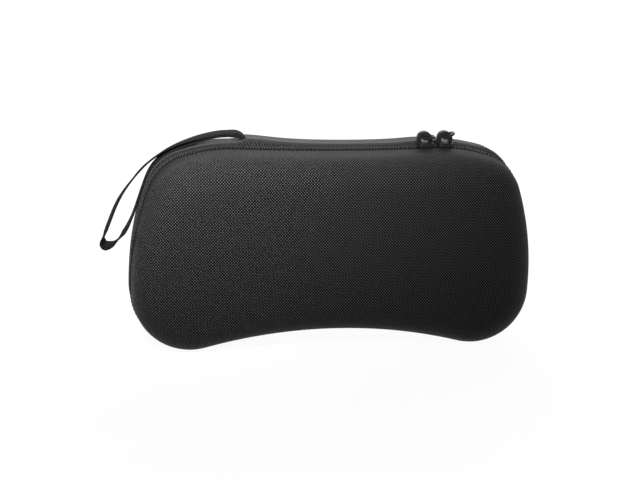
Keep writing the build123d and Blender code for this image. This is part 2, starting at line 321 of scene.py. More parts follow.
@dataclass(frozen=True)
class Weave:
    """A plain weave: threads that pass over and under each other by turns."""

    warp_pitch: float
    weft_pitch: float
    roundness: float = 0.6
    crimp: float = 0.5

    def threads(self, graph: Graph) -> tuple[Value, Value]:
        """Heights of the warp and the weft.

        A thread's height is a cosine across its width, plus a cosine along it that is up where the
        thread passes over its neighbour and down where it passes under.

        Args:
            graph: Graph to add the nodes to.

        Returns:
            Height of the warp and height of the weft, about -0.5 to 1.1.
        """
        u, v = graph.cloth_place()
        across, along = u / self.warp_pitch, v / self.weft_pitch
        column, row = across.floor(), along.floor()
        turn = 1.0 - (column + row).parity() * 2.0
        warp_wave = ((across - column - 0.5) * math.pi).cosine()
        weft_wave = ((along - row - 0.5) * math.pi).cosine()
        warp = warp_wave * self.roundness + weft_wave * turn * self.crimp
        weft = weft_wave * self.roundness - warp_wave * turn * self.crimp
        return warp, weft


@dataclass(frozen=True)
class BallisticCloth:
    """Coarse filament cloth of the shells' outside, pressed smooth towards the rims."""

    weave: Weave = Weave(0.9 * MM, 1.0 * MM)
    # One black yarn throughout: the warp colour is a painted highlight on the thread crowns, and the weft and
    # gap colours are painted shade.
    warp_highlight_colour: Colour = (0.128, 0.128, 0.130)
    weft_shade_colour: Colour = (0.008, 0.008, 0.0083)
    gap_shade_colour: Colour = (0.004, 0.004, 0.0042)
    pressed_colour: Colour = (0.0112, 0.0114, 0.0118)
    # Paler tone of the painted highlight: grazing sheen along the rims, and light on the shaded hem.
    rim_highlight_colour: Colour = (0.054, 0.054, 0.056)
    pressed_share: float = 0.85
    relief: float = 0.32 * MM
    patch_scale: float = 35.0
    patch_share: Pair = (0.85, 1.15)
    thread_shade_span: Pair = (0.55, 1.02)
    rough_span: Pair = (0.2, 1.0)
    roughness: Pair = (0.68, 0.46)
    gloss: float = 0.04

    def material(self) -> Material:
        """Warp beads painted bright as highlights on the thread crowns, weft beads and the gaps painted dark
        as shade, fading to an even tone where it is pressed.

        The pressed share goes up to 1 where the cloth is pressed, and on to 2 where a painted highlight makes
        the pressed tone paler: grazing sheen along the rims, and light on the shaded hem.

        Returns:
            The material.
        """
        graph = Graph("ballistic_cloth")
        warp, weft = self.weave.threads(graph)
        height = warp.largest(weft)
        patchy = graph.noise(self.patch_scale).ramp(*CLOUDS, *self.patch_share)
        # Painted highlight on the warp beads, and painted shade on the weft beads and in the gaps between
        # threads.
        painted_bead = graph.mix(warp > weft, rgba(self.weft_shade_colour), rgba(self.warp_highlight_colour))
        woven = graph.mix(height.ramp(*self.thread_shade_span), rgba(self.gap_shade_colour), painted_bead)
        given = graph.attribute(PRESS_AND_HIGHLIGHT_NAME)
        press = given.ramp(0.0, 1.0) * patchy * self.pressed_share
        # Pressed tone, made paler by the painted highlight where the share passes 1.
        smooth = graph.mix(given.ramp(1.0, 2.0), rgba(self.pressed_colour), rgba(self.rim_highlight_colour))
        colour = graph.mix(press, woven, smooth)
        relief = height * (1.0 - press)
        return graph.shade(
            Base_Color=colour,
            Roughness=height.ramp(*self.rough_span, *self.roughness),
            Normal=graph.bump(relief, self.relief),
            Specular_IOR_Level=self.gloss,
        )


@dataclass(frozen=True)
class KnitLining:
    """Smooth fine knit inside the shells."""

    colour: Colour = (0.026, 0.026, 0.027)
    stitch_pitch: float = 0.55 * MM
    relief: float = 0.12 * MM
    stitch_span: Pair = (0.2, 0.9)
    shades: tuple[float, ...] = (0.55, 0.8, 1.25)
    cloud_scale: float = 60.0
    cloud_share: float = 0.4
    roughness: float = 0.82
    gloss: float = 0.1
    sheen: Pair = (0.1, 0.5)

    def material(self) -> Material:
        """Fine even loops with a soft sheen.

        Returns:
            The material.
        """
        graph = Graph("knit_lining")
        warp, weft = Weave(self.stitch_pitch, self.stitch_pitch).threads(graph)
        height = warp.largest(weft)
        cloud = graph.noise(self.cloud_scale).ramp(*CLOUDS)
        # Painted shade in the valleys between loops and painted highlight on their crowns, taken from the
        # loops' height.
        dark, even, bright = tones(self.colour, self.shades)
        stitch_shade = graph.mix(height.ramp(*self.stitch_span), dark, bright)
        return graph.shade(
            Base_Color=graph.mix(cloud * self.cloud_share, stitch_shade, even),
            Roughness=self.roughness,
            Normal=graph.bump(height, self.relief),
            Specular_IOR_Level=self.gloss,
            Sheen_Weight=self.sheen[0],
            Sheen_Roughness=self.sheen[1],
        )


@dataclass(frozen=True)
class RibbedTape:
    """Narrow woven band with ribs across or along it: zip tape, binding, webbing or elastic."""

    name: str
    colour: Colour
    rib_pitch: float
    cross_pitch: float
    relief: float = 0.12 * MM
    slant: float = 0.0
    gloss: float = 0.08
    roughness: Pair = (0.87, 0.67)
    rib_span: Pair = (0.1, 0.95)
    cross_depth: float = 0.45
    shades: tuple[float, ...] = (0.35, 0.85, 1.3)
    wear_scale: float = 90.0
    wear_span: Pair = (0.35, 0.75)
    wear_share: float = 0.35

    def material(self) -> Material:
        """Ribs along v, slanted by slant, crossed by finer threads.

        Returns:
            The material.
        """
        graph = Graph(self.name)
        u, v = graph.cloth_place()
        leaning = u + v.absolute() * self.slant
        rib = ((leaning / self.rib_pitch).fraction() - 0.5).absolute() * 2.0
        cross = ((v / self.cross_pitch).fraction() - 0.5).absolute() * 2.0
        height = (1.0 - rib * rib) * (1.0 - cross * cross * self.cross_depth)
        worn = graph.noise(self.wear_scale).ramp(*self.wear_span)
        # Painted shade in the valleys between ribs and painted highlight on their crests, taken from the
        # ribs' height.
        dark, even, bright = tones(self.colour, self.shades)
        rib_shade = graph.mix(height.ramp(*self.rib_span), dark, bright)
        return graph.shade(
            Base_Color=graph.mix(worn * self.wear_share, rib_shade, even),
            Roughness=height.ramp(0.0, 1.0, *self.roughness),
            Normal=graph.bump(height, self.relief),
            Specular_IOR_Level=self.gloss,
        )


@dataclass(frozen=True)
class PocketNet:
    """Knitted net with rounded holes in staggered rows."""

    colour: Colour = (0.030, 0.030, 0.031)
    pitch: float = 2.6 * MM
    row_pitch: float = 2.2 * MM
    hole: float = 0.33
    hole_edge: Pair = (0.85, 1.15)
    ridge_end: float = 0.30
    shades: Pair = (0.6, 1.3)
    relief: float = 0.3 * MM
    roughness: float = 0.7
    gloss: float = 0.1

    def material(self) -> Material:
        """Open where a point is within hole, in pitches, of a hole's middle, and yarn elsewhere.

        Returns:
            The material.
        """
        graph = Graph("pocket_net")
        u, v = graph.cloth_place()
        row = (v / self.row_pitch).floor()
        across = (u / self.pitch + row.parity() * 0.5).fraction() - 0.5
        up = ((v / self.row_pitch).fraction() - 0.5) * (self.row_pitch / self.pitch)
        away = across * across + up * up
        yarn = away.ramp(*(self.hole**2 * share for share in self.hole_edge))
        ridge = away.ramp(self.hole**2, self.ridge_end)
        # Yarn painted darker at the holes' edges as shade, and brighter on its crest as highlight.
        return graph.shade(
            Base_Color=graph.mix(ridge, *tones(self.colour, self.shades)),
            Roughness=self.roughness,
            Alpha=yarn,
            Normal=graph.bump(ridge, self.relief),
            Specular_IOR_Level=self.gloss,
        )


@dataclass(frozen=True)
class CoilNylon:
    """Satin black nylon of the zip's teeth and of the sewing thread."""

    name: str = "coil_nylon"
    colour: Colour = (0.030, 0.030, 0.032)
    roughness: Pair = (0.44, 0.6)
    gloss: float = 0.15
    shades: Pair = (0.75, 1.25)
    cloud_scale: float = 400.0

    def material(self) -> Material:
        """Even dark nylon with slight wear in its gloss.

        Returns:
            The material.
        """
        graph = Graph(self.name)
        cloud = graph.noise(self.cloud_scale).ramp(*CLOUDS)
        return graph.shade(
            Base_Color=graph.mix(cloud, *tones(self.colour, self.shades)),
            Roughness=cloud.ramp(0.0, 1.0, *self.roughness),
            Specular_IOR_Level=self.gloss,
        )


@dataclass(frozen=True)
class BlackEnamel:
    """Baked black enamel on die-cast zip sliders, with faint wear."""

    colour: Colour = (0.010, 0.010, 0.0105)
    worn_colour: Colour = (0.07, 0.07, 0.073)
    rub_noise: Pair = (700.0, 5.0)
    rub_span: Pair = (0.58, 0.78)
    rub_share: float = 0.5
    rub_metal: float = 0.3
    grain_noise: Pair = (2600.0, 2.0)
    grain_relief: float = 0.03 * MM
    roughness: Pair = (0.48, 0.40)
    gloss: float = 0.2

    def material(self) -> Material:
        """Semi-gloss enamel, rubbed brighter in small patches.

        Returns:
            The material.
        """
        graph = Graph("black_enamel")
        rubbed = graph.noise(*self.rub_noise).ramp(*self.rub_span)
        grain = graph.noise(*self.grain_noise)
        return graph.shade(
            Base_Color=graph.mix(rubbed * self.rub_share, rgba(self.colour), rgba(self.worn_colour)),
            Metallic=rubbed * self.rub_metal,
            Roughness=rubbed.ramp(0.0, 1.0, *self.roughness),
            Specular_IOR_Level=self.gloss,
            Normal=graph.bump(grain, self.grain_relief),
        )


@dataclass(frozen=True)
class ClosingPile:
    """Face of a hook or loop pad: rows of small hooks, or brushed pile."""

    name: str
    colour: Colour
    pitch: float
    relief: float
    patch_scale: float = 900.0
    patch_span: Pair = (0.2, 0.8)
    patch_share: Pair = (0.6, 1.2)
    tuft_span: Pair = (0.2, 1.0)
    shades: Pair = (0.4, 1.5)
    roughness: float = 0.85
    gloss: float = 0.1
    sheen: Pair = (0.1, 0.6)

    def material(self) -> Material:
        """Small round tufts in staggered rows.

        Returns:
            The material.
        """
        graph = Graph(self.name)
        warp, weft = Weave(self.pitch, self.pitch).threads(graph)
        patchy = graph.noise(self.patch_scale).ramp(*self.patch_span, *self.patch_share)
        tuft = warp.largest(weft) * patchy
        # Painted shade between the tufts and painted highlight on their tops.
        return graph.shade(
            Base_Color=graph.mix(tuft.ramp(*self.tuft_span), *tones(self.colour, self.shades)),
            Roughness=self.roughness,
            Normal=graph.bump(tuft, self.relief),
            Specular_IOR_Level=self.gloss,
            Sheen_Weight=self.sheen[0],
            Sheen_Roughness=self.sheen[1],
        )


# Meshes


@dataclass
class Patch:
    """Part of a mesh, with a place in the cloth and a pressed share, with any painted highlight added, for
    each point.
    """

    points: Array
    faces: Array
    uv: Array
    press: Array
    finish: int = 0

    @classmethod
    def grid(
        cls, points: Array, uv: Array | None = None, press: Array | None = None, finish: int = 0
    ) -> "Patch":
        """Quads between the neighbours of a grid of points.

        Args:
            points: Grid of shape (rows, columns, 3).
            uv: Places in the cloth, of shape (rows, columns, 2).
            press: Pressed shares with any painted highlight added, of shape (rows, columns).
            finish: Number of the material.

        Returns:
            The patch.
        """
        rows, columns = points.shape[:2]
        corner = (np.arange(rows - 1)[:, None] * columns + np.arange(columns - 1)).ravel()
        faces = np.stack([corner, corner + 1, corner + columns + 1, corner + columns], axis=1)
        count = rows * columns
        uv = np.zeros((count, 2)) if uv is None else uv.reshape(count, 2)
        press = np.zeros(count) if press is None else press.reshape(count)
        return cls(points.reshape(count, 3), faces, uv, press, finish)

    @classmethod
    def tube(cls, points: Array, along: Array, across: Array) -> "Patch":
        """Swept grid closed at both ends, whose place in the cloth is the way along it and across it.

        Args:
            points: Grid of shape (rows, columns, 3).
            along: Way of each row.
            across: Way of each column.

        Returns:
            The patch.
        """
        uv = np.stack(np.broadcast_arrays(along[:, None], across), axis=-1)
        return cls.grid(capped(points), np.concatenate([uv[:1], uv, uv[-1:]]))

    def repeated(self, origins: Array, axes: Array) -> "Patch":
        """Copies of the patch: each point is a place's origin plus its coordinates along the place's axes.

        Args:
            origins: Places of the copies, of shape (copies, 3).
            axes: Three axes of each place, of shape (copies, 3, 3).

        Returns:
            One patch that holds all the copies.
        """
        copies, count = len(origins), len(self.points)
        points = origins[:, None] + np.einsum("pi,kij->kpj", self.points, axes)
        faces = self.faces[None] + (np.arange(copies) * count)[:, None, None]
        uv, press = np.tile(self.uv, (copies, 1)), np.tile(self.press, copies)
        return Patch(points.reshape(-1, 3), faces.reshape(-1, 4), uv, press, self.finish)


def capped(points: Array) -> Array:
    """Closes the two ends of a swept grid by drawing its first and last row together in their middles.

    Args:
        points: Grid of shape (rows, columns, 3).

    Returns:
        The grid with a row more at each end.
    """
    first, last = points[0].mean(axis=0), points[-1].mean(axis=0)
    shape = points[0].shape
    return np.concatenate([np.broadcast_to(first, shape)[None], points, np.broadcast_to(last, shape)[None]])


def rounded_bar(width: float, height: float, radius: float, steps: int = 4) -> Array:
    """Loop of a rectangle with round corners: four corner centres, each plus a quarter of a circle.

    Args:
        width: Length of the rectangle's first side.
        height: Length of its second side.
        radius: Radius of its corners.
        steps: Steps of a corner.

    Returns:
        Points of shape (count, 2), the first one repeated at the end.
    """
    angle = np.radians(np.linspace(0, 90, steps + 1))
    quarter = np.arange(4)[:, None] * math.pi / 2 + angle
    centre_x = np.array([1, -1, -1, 1])[:, None] * (width / 2 - radius)
    centre_y = np.array([1, 1, -1, -1])[:, None] * (height / 2 - radius)
    loop = np.stack([centre_x + radius * np.cos(quarter), centre_y + radius * np.sin(quarter)], axis=-1)
    loop = loop.reshape(-1, 2)
    return np.concatenate([loop, loop[:1]])


def sweep(path: Array, side: Array, up: Array, loop: Array) -> Array:
    """Carries a loop along a path: a point is the path's point plus the loop's x along side and y along up.

    Args:
        path: Points of the path, of shape (count, 3).
        side: Directions of the loop's x, of shape (count, 3), or one for all.
        up: Directions of the loop's y, of shape (count, 3), or one for all.
        loop: Closed loop, of shape (corners, 2).

    Returns:
        Grid of shape (count, corners, 3).
    """
    side, up = np.broadcast_to(side, path.shape), np.broadcast_to(up, path.shape)
    across = loop[None, :, 0, None] * side[:, None]
    return path[:, None] + across + loop[None, :, 1, None] * up[:, None]


def travel(points: Array) -> Array:
    """Distance along a line of points, from its first point."""
    steps = np.linalg.norm(np.diff(points, axis=0), axis=-1)
    return np.concatenate([np.zeros_like(steps[:1]), np.cumsum(steps, axis=0)])


def headings(path: Array) -> Array:
    """Unit directions along a line of points."""
    along = np.gradient(path, axis=0)
    return along / np.linalg.norm(along, axis=1, keepdims=True)


def eased(value: Array, low: float, high: float) -> Array:
    """Goes from 0 to 1 as value goes from low to high: 3 s s - 2 s s s of the share s of that way."""
    share = np.clip((value - low) / (high - low), 0, 1)
    return share * share * (3 - 2 * share)


def capsule(length: float, width: float, height: float, rows: int = 7, columns: int = 8) -> Array:
    """Grid of a bar along x, whose girth goes with the root of the sine of the turn from end to end.

    Args:
        length: Length from tip to tip.
        width: Greatest width, along y.
        height: Greatest height, along z.
        rows: Points from tip to tip.
        columns: Faces round the bar.

    Returns:
        Grid of shape (rows, columns + 1, 3).
    """
    turn = np.linspace(0, math.pi, rows)
    along = -np.cos(turn) * length / 2
    girth = np.sin(turn) ** 0.5
    girth[[0, -1]] = 0
    around = np.linspace(0, 2 * math.pi, columns + 1)
    x = np.broadcast_to(along[:, None], (rows, columns + 1))
    y = girth[:, None] * np.cos(around) * width / 2
    z = girth[:, None] * np.sin(around) * height / 2
    return np.stack([x, y, z], axis=-1)


def make_piece(name: str, patches: list[Patch], materials: list[Material]) -> Piece:
    """Makes one object of patches, with doubles merged and normals outwards.

    Args:
        name: The piece's name.
        patches: Parts of its mesh.
        materials: Its materials, in the order of the patches' finish numbers.

    Returns:
        The new object, which rides on nothing yet.
    """
    starts = np.cumsum([0] + [len(patch.points) for patch in patches[:-1]])
    faces = np.concatenate([patch.faces + start for patch, start in zip(patches, starts)])
    points = np.concatenate([patch.points for patch in patches])
    uv = np.concatenate([patch.uv for patch in patches])
    finishes = np.concatenate([np.full(len(patch.faces), patch.finish) for patch in patches])
    mesh = bpy.data.meshes.new(name)
    mesh.from_pydata(points.tolist(), [], faces.tolist())
    mesh.uv_layers.new(name=UV_NAME).uv.foreach_set("vector", uv[faces.ravel()].astype(np.float32).ravel())
    press = np.concatenate([patch.press for patch in patches])
    mesh.attributes.new(PRESS_AND_HIGHLIGHT_NAME, "FLOAT", "POINT").data.foreach_set("value", press.astype(np.float32))
    mesh.polygons.foreach_set("material_index", finishes.astype(np.int32))
    for material in materials:
        mesh.materials.append(material)
    work = bmesh.new()
    work.from_mesh(mesh)
    bmesh.ops.remove_doubles(work, verts=work.verts, dist=MERGE_DISTANCE)
    bmesh.ops.recalc_face_normals(work, faces=work.faces)
    work.to_mesh(mesh)
    work.free()
    mesh.shade_smooth()
    mesh.set_sharp_from_angle(angle=SHARP_ANGLE)
    piece = bpy.data.objects.new(name, mesh)
    bpy.context.scene.collection.objects.link(piece)
    return piece


def settle(piece: Piece, body: str, slot: str, *nodes: str) -> Piece:
    """Puts a piece on its body and reports it.

    Args:
        piece: The piece.
        body: Name of the body that it rides on.
        slot: Name of its finish's slot; not used.
        nodes: Names of the nodes that it stands for.

    Returns:
        The piece.
    """
    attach(piece, body)
    if nodes:
        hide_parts(*nodes)
    log.info("%s rides on %s", piece.name, body)
    return piece


# The case's outline


@dataclass
class Rim:
    """Points of the outline in the XZ plane, from the middle of the lower edge round to it again."""

    points: Array
    normals: Array

    def __post_init__(self) -> None:
        """Measures the way along the outline."""
        self.length = travel(self.points)

    def inset(self, depth: Array | float) -> Array:
        """The points moved inwards by depth."""
        return self.points - np.asarray(depth)[..., None] * self.normals

    def at(self, lengths: Array) -> "Rim":
        """Picks points of the outline.

        Args:
            lengths: Ways along it, which go on round past its start and its end.

        Returns:
            The outline at those ways.
        """
        def pick(column: Array) -> Array:
            """Values of one column at the lengths."""
            return np.interp(lengths % self.length[-1], self.length, column)

        points = np.stack([pick(self.points[:, 0]), pick(self.points[:, 1])], axis=-1)
        normals = np.stack([pick(self.normals[:, 0]), pick(self.normals[:, 1])], axis=-1)
        return Rim(points, normals / np.linalg.norm(normals, axis=-1, keepdims=True))

    def place(self, depth: Array | float, y: Array | float) -> Array:
        """Points in space at an inset and a Y."""
        flat = self.inset(depth)
        return np.stack([flat[..., 0], np.broadcast_to(y, flat.shape[:-1]), flat[..., 1]], axis=-1)

    def outward(self) -> Array:
        """The normals in space."""
        return np.stack([self.normals[:, 0], np.zeros(len(self.normals)), self.normals[:, 1]], axis=-1)

    def forward(self) -> Array:
        """Directions along the outline in space."""
        return np.stack([-self.normals[:, 1], np.zeros(len(self.normals)), self.normals[:, 0]], axis=-1)


@dataclass(frozen=True)
class Outline:
    """The case's outline: tangent arcs, the same on both sides."""

    width: float = 260 * MM
    side_height: float = 41.5 * MM
    side_radius: float = 195 * MM
    lobe_radius: float = 37.8 * MM
    bottom_radius: float = 322 * MM
    corner_radius: float = 29 * MM
    shoulder_radius: float = 96 * MM
    shoulder_start: float = 65 * MM
    top_radius: float = 1800 * MM
    top_height: float = 128.9 * MM
    step: float = 2.2 * MM
    step_turn: float = 4.0

    def arcs(self) -> list[tuple[complex, float, float, float, int]]:
        """Arcs of the right half from the lower middle to the upper one.

        A point x, z of the plane is the complex number x + iz. Arcs that touch have their centres on a
        line through the point where they meet.

        Returns:
            Centre, radius, start angle, end angle and bulge, 1 or -1, of each arc.
        """
        side = complex(self.width / 2 - self.side_radius, self.side_height)
        reach = self.side_radius - self.lobe_radius
        shift = math.sqrt(reach**2 - (self.side_height - self.lobe_radius) ** 2)
        lobe = complex(side.real + shift, self.lobe_radius)
        drop = math.sqrt((self.bottom_radius + self.lobe_radius) ** 2 - lobe.real**2)
        bottom = complex(0, self.lobe_radius - drop)
        top = complex(0, self.top_height + self.top_radius)
        lean = math.asin(self.shoulder_start / self.top_radius)
        shoulder = top + (self.top_radius + self.shoulder_radius) * complex(math.sin(lean), -math.cos(lean))
        near, far = self.side_radius - self.corner_radius, self.shoulder_radius - self.corner_radius
        line = shoulder - side
        along = (near**2 - far**2 + abs(line) ** 2) / (2 * abs(line))
        corner = side + line / abs(line) * complex(along, math.sqrt(near**2 - along**2))

        def heading(start: complex, end: complex) -> float:
            """Angle of the way from one centre to another."""
            return math.atan2((end - start).imag, (end - start).real)

        bottom_turn, lobe_turn = heading(bottom, lobe), heading(side, lobe)
        side_turn, corner_turn = heading(side, corner), heading(shoulder, corner)
        top_turn = heading(shoulder, top)
        return [
            (bottom, self.bottom_radius, math.pi / 2, bottom_turn, -1),
            (lobe, self.lobe_radius, bottom_turn - math.pi, lobe_turn, 1),
            (side, self.side_radius, lobe_turn, side_turn, 1),
            (corner, self.corner_radius, side_turn, corner_turn, 1),
            (shoulder, self.shoulder_radius, corner_turn, top_turn, 1),
            (top, self.top_radius, top_turn + math.pi, 1.5 * math.pi, -1),
        ]

    def rim(self) -> Rim:
        """Samples the arcs: a point is its arc's centre plus the radius along the arc's angle.

        Returns:
            The right half's points, and then the same mirrored.
        """
        points, normals = [], []
        for centre, radius, start, end, bulge in self.arcs():
            turn = abs(end - start)
            count = max(math.ceil(turn * radius / self.step), math.ceil(math.degrees(turn) / self.step_turn))
            ray = np.exp(1j * np.linspace(start, end, count + 1)[:-1])
            points.append(centre + radius * ray)
            normals.append(bulge * ray)
        right = np.append(np.concatenate(points), complex(0, self.top_height))
        facing = np.append(np.concatenate(normals), 1j)
        whole = np.concatenate([right, -right[-2::-1].conj()])
        facing = np.concatenate([facing, -facing[-2::-1].conj()])
        return Rim(np.stack([whole.real, whole.imag], -1), np.stack([facing.real, facing.imag], -1))

    def lower_way(self, reach: float) -> float:
        """Way along the lower arc from its middle to a distance from the middle line."""
        return self.bottom_radius * math.asin(reach / self.bottom_radius)


# The case's sub-assemblies


@dataclass(frozen=True)
class Bulge:
    """Place where a wall stands out over what is sewn in under it, with its reach to both sides."""

    middle: float
    height: float
    left: float
    right: float

    def rise(self, x: Array) -> Array:
        """Height over x: the bell curve 1 / cosh of the distance from the middle over the reach."""
        off = (x - self.middle) / np.where(x < self.middle, self.left, self.right)
        return self.height / np.cosh(np.clip(off, -FAR, FAR))


@dataclass
class Shell:
    """One moulded half: a drafted wall, a round edge and a flat face, covered with cloth."""

    side: Side
    rim: Rim
    round_radius: float
    depth: float = 36 * MM
    bulges: tuple[Bulge, ...] = ()
    start: float = 7 * MM
    draft: float = math.radians(5)
    wall: float = 4.2 * MM
    edge: float = 2.0 * MM
    edge_round: float = 0.7 * MM
    hem_round: float = 0.4 * MM
    seam_depth: float = 8 * MM
    centre_height: float = 66 * MM
    press_reach: Pair = (12 * MM, 24 * MM)
    # Reach of the painted rim highlight up the wall.
    rim_highlight_reach: float = 1 * MM
    wall_rows: int = 4
    hem_rows: int = 2
    tuck_rows: int = 5
    # Fixed share of painted light on the hem's first rows, which lie in shade.
    hem_painted_light: float = 0.45
    hem_light_rows: int = 5
    swell_start: float = 1.2 * MM
    swell_end: float = 16 * MM
    # Stitches, made wide so that the row also paints the shadow line along the rim.
    stitch_pitch: float = 2.9 * MM
    stitch_length: float = 2.6 * MM
    stitch_width: float = 1.1 * MM
    stitch_height: float = 0.66 * MM
    stitch_drop: float = 1.0 * MM

    def section(self, skin: float, low: float, rounds: int = 14) -> tuple[Array, Array]:
        """Section of the form, from the wall's edge to the face.

        The round edge is the arc that touches the drafted wall and the face, so its centre lies a radius
        away from both lines.

        Args:
            skin: How far the form lies inside the outer one.
            low: Distance from the zip's middle at which the wall starts.
            rounds: Steps of the round edge.

        Returns:
            Insets and depths of the section's points.
        """
        radius = self.round_radius - skin
        level = self.depth - self.round_radius
        centre = skin + (level - self.start) * math.tan(self.draft) + radius / math.cos(self.draft)
        angle = np.linspace(self.draft, math.pi / 2, rounds + 1)
        arc_inset, arc_depth = centre - radius * np.cos(angle), level + radius * np.sin(angle)
        wall_depth = np.linspace(low, arc_depth[0], self.wall_rows + 1)[:-1]
        wall_inset = skin + (wall_depth - self.start) * math.tan(self.draft)
        return np.concatenate([wall_inset, arc_inset]), np.concatenate([wall_depth, arc_depth])

    def swell(self, x: Array, upward: Array) -> Array:
        """How far the upper wall stands out: the sum of its bulges, times the square of the upward share.

        Args:
            x: Places across the case.
            upward: How far the outline's normal points up there, from -1 to 1.

        Returns:
            The heights.
        """
        total = sum((bulge.rise(x) for bulge in self.bulges), np.zeros_like(x))
        return total * np.clip(upward, 0, 1) ** 2

    def surface(self, inset: Array, depth: Array, finish: int, press: bool, rows: int = 10) -> Patch:
        """Surface of section rows round the rim, and of rows that draw the face together to its middle.

        On the face the cloth's place is x and z. Further out it is the place of the face's edge plus the
        way along the section in the direction of the outline's normal.

        Args:
            inset: Insets of the section's rows, the face's edge last.
            depth: Depths of those rows.
            finish: Number of the material.
            press: Whether the cloth is pressed smooth towards the rim, with its painted highlight.
            rows: Rows of the face.

        Returns:
            The patch.
        """
        flat = self.rim.inset(inset[:, None])
        way = travel(np.stack([inset, depth], axis=-1))
        out = way[-1] - way
        uv = flat[-1] + out[:, None, None] * self.rim.normals
        share = np.linspace(0, 1, rows + 1)[1:, None, None]
        face = flat[-1] * (1 - share) + np.array([0, self.centre_height]) * share
        pressed = np.zeros((len(way) + rows, len(self.rim.points)))
        if press:
            free = np.clip((way - way[self.hem_rows]) / self.swell_start, 0, 1)
            swell = self.swell(flat[..., 0], self.rim.normals[:, 1])
            flat[..., 1] += swell * (free * eased(out, 0, self.swell_end))[:, None]
            # Painted highlight: a paler rim tone that stands for grazing sheen, up the whole wall on the
            # base, plus a fixed lift of painted light on the hem's shaded rows.
            pale = np.clip(1 - (way - way[self.hem_rows]) / self.rim_highlight_reach, 0, 1)
            pale[: self.hem_light_rows] = self.hem_painted_light
            pressed[: len(way)] = (1 - eased(way, *self.press_reach) + pale)[:, None]
        flat = np.concatenate([flat, face])
        y = self.side.value * np.append(depth, np.full(rows, depth[-1]))
        points = np.stack([flat[..., 0], np.broadcast_to(y[:, None], pressed.shape), flat[..., 1]], axis=-1)
        return Patch.grid(points, np.concatenate([uv, face]), pressed, finish)

    def build(self, cloth: Material, lining: Material) -> Piece:
        """Makes the outside cloth, turned in round the rim by a quarter of a circle, and the lining.

        Args:
            cloth: Material of the outside.
            lining: Material of the inside.

        Returns:
            The piece.
        """
        inset, depth = self.section(0.0, self.start + self.edge_round)
        turn = np.linspace(math.pi / 2, 0, self.tuck_rows + 1)[:-1]
        tuck_inset = self.edge_round * (1 - np.cos(turn))
        tuck_depth = self.start + self.edge_round * (1 - np.sin(turn))
        hem_inset = np.array([self.edge, self.edge, self.edge - self.hem_round])
        hem_depth = self.start + np.array([self.seam_depth, self.hem_round, 0.0])
        outer_inset = np.concatenate([hem_inset, tuck_inset, inset])
        outer_depth = np.concatenate([hem_depth, tuck_depth, depth])
        floor = self.start + self.seam_depth
        inner_inset, inner_depth = self.section(self.wall, floor)
        inner_inset, inner_depth = np.append(self.edge, inner_inset), np.append(floor, inner_depth)
        outside = self.surface(outer_inset, outer_depth, 0, True)
        inside = self.surface(inner_inset, inner_depth, 1, False)
        node = f"{self.side.word}_shell"
        piece = make_piece(f"{node}_cover", [outside, inside], [cloth, lining])
        return settle(piece, self.side.body, "shell_cloth", node)

    def stitch(self, thread: Material) -> Piece:
        """Makes the row of stitches that holds the tape, at an even pitch along the rim; the stitches are
        wide and near-black, so that the row also paints the shadow in the gap between the rim and the zip.

        Args:
            thread: Material of the stitches.

        Returns:
            The piece.
        """
        count = round(self.rim.length[-1] / self.stitch_pitch)
        spots = self.rim.at(np.arange(count) / count * self.rim.length[-1])
        depth = self.start + self.stitch_drop
        origins = spots.place(self.stitch_drop * math.tan(self.draft), self.side.value * depth)
        side = np.broadcast_to([0.0, self.side.value, 0.0], origins.shape)
        axes = np.stack([spots.forward(), side, spots.outward()], axis=1)
        bar = Patch.grid(capsule(self.stitch_length, self.stitch_width, self.stitch_height))
        piece = make_piece(f"{self.side.word}_rim_stitching", [bar.repeated(origins, axes)], [thread])
        return settle(piece, self.side.body, "shell_cloth")


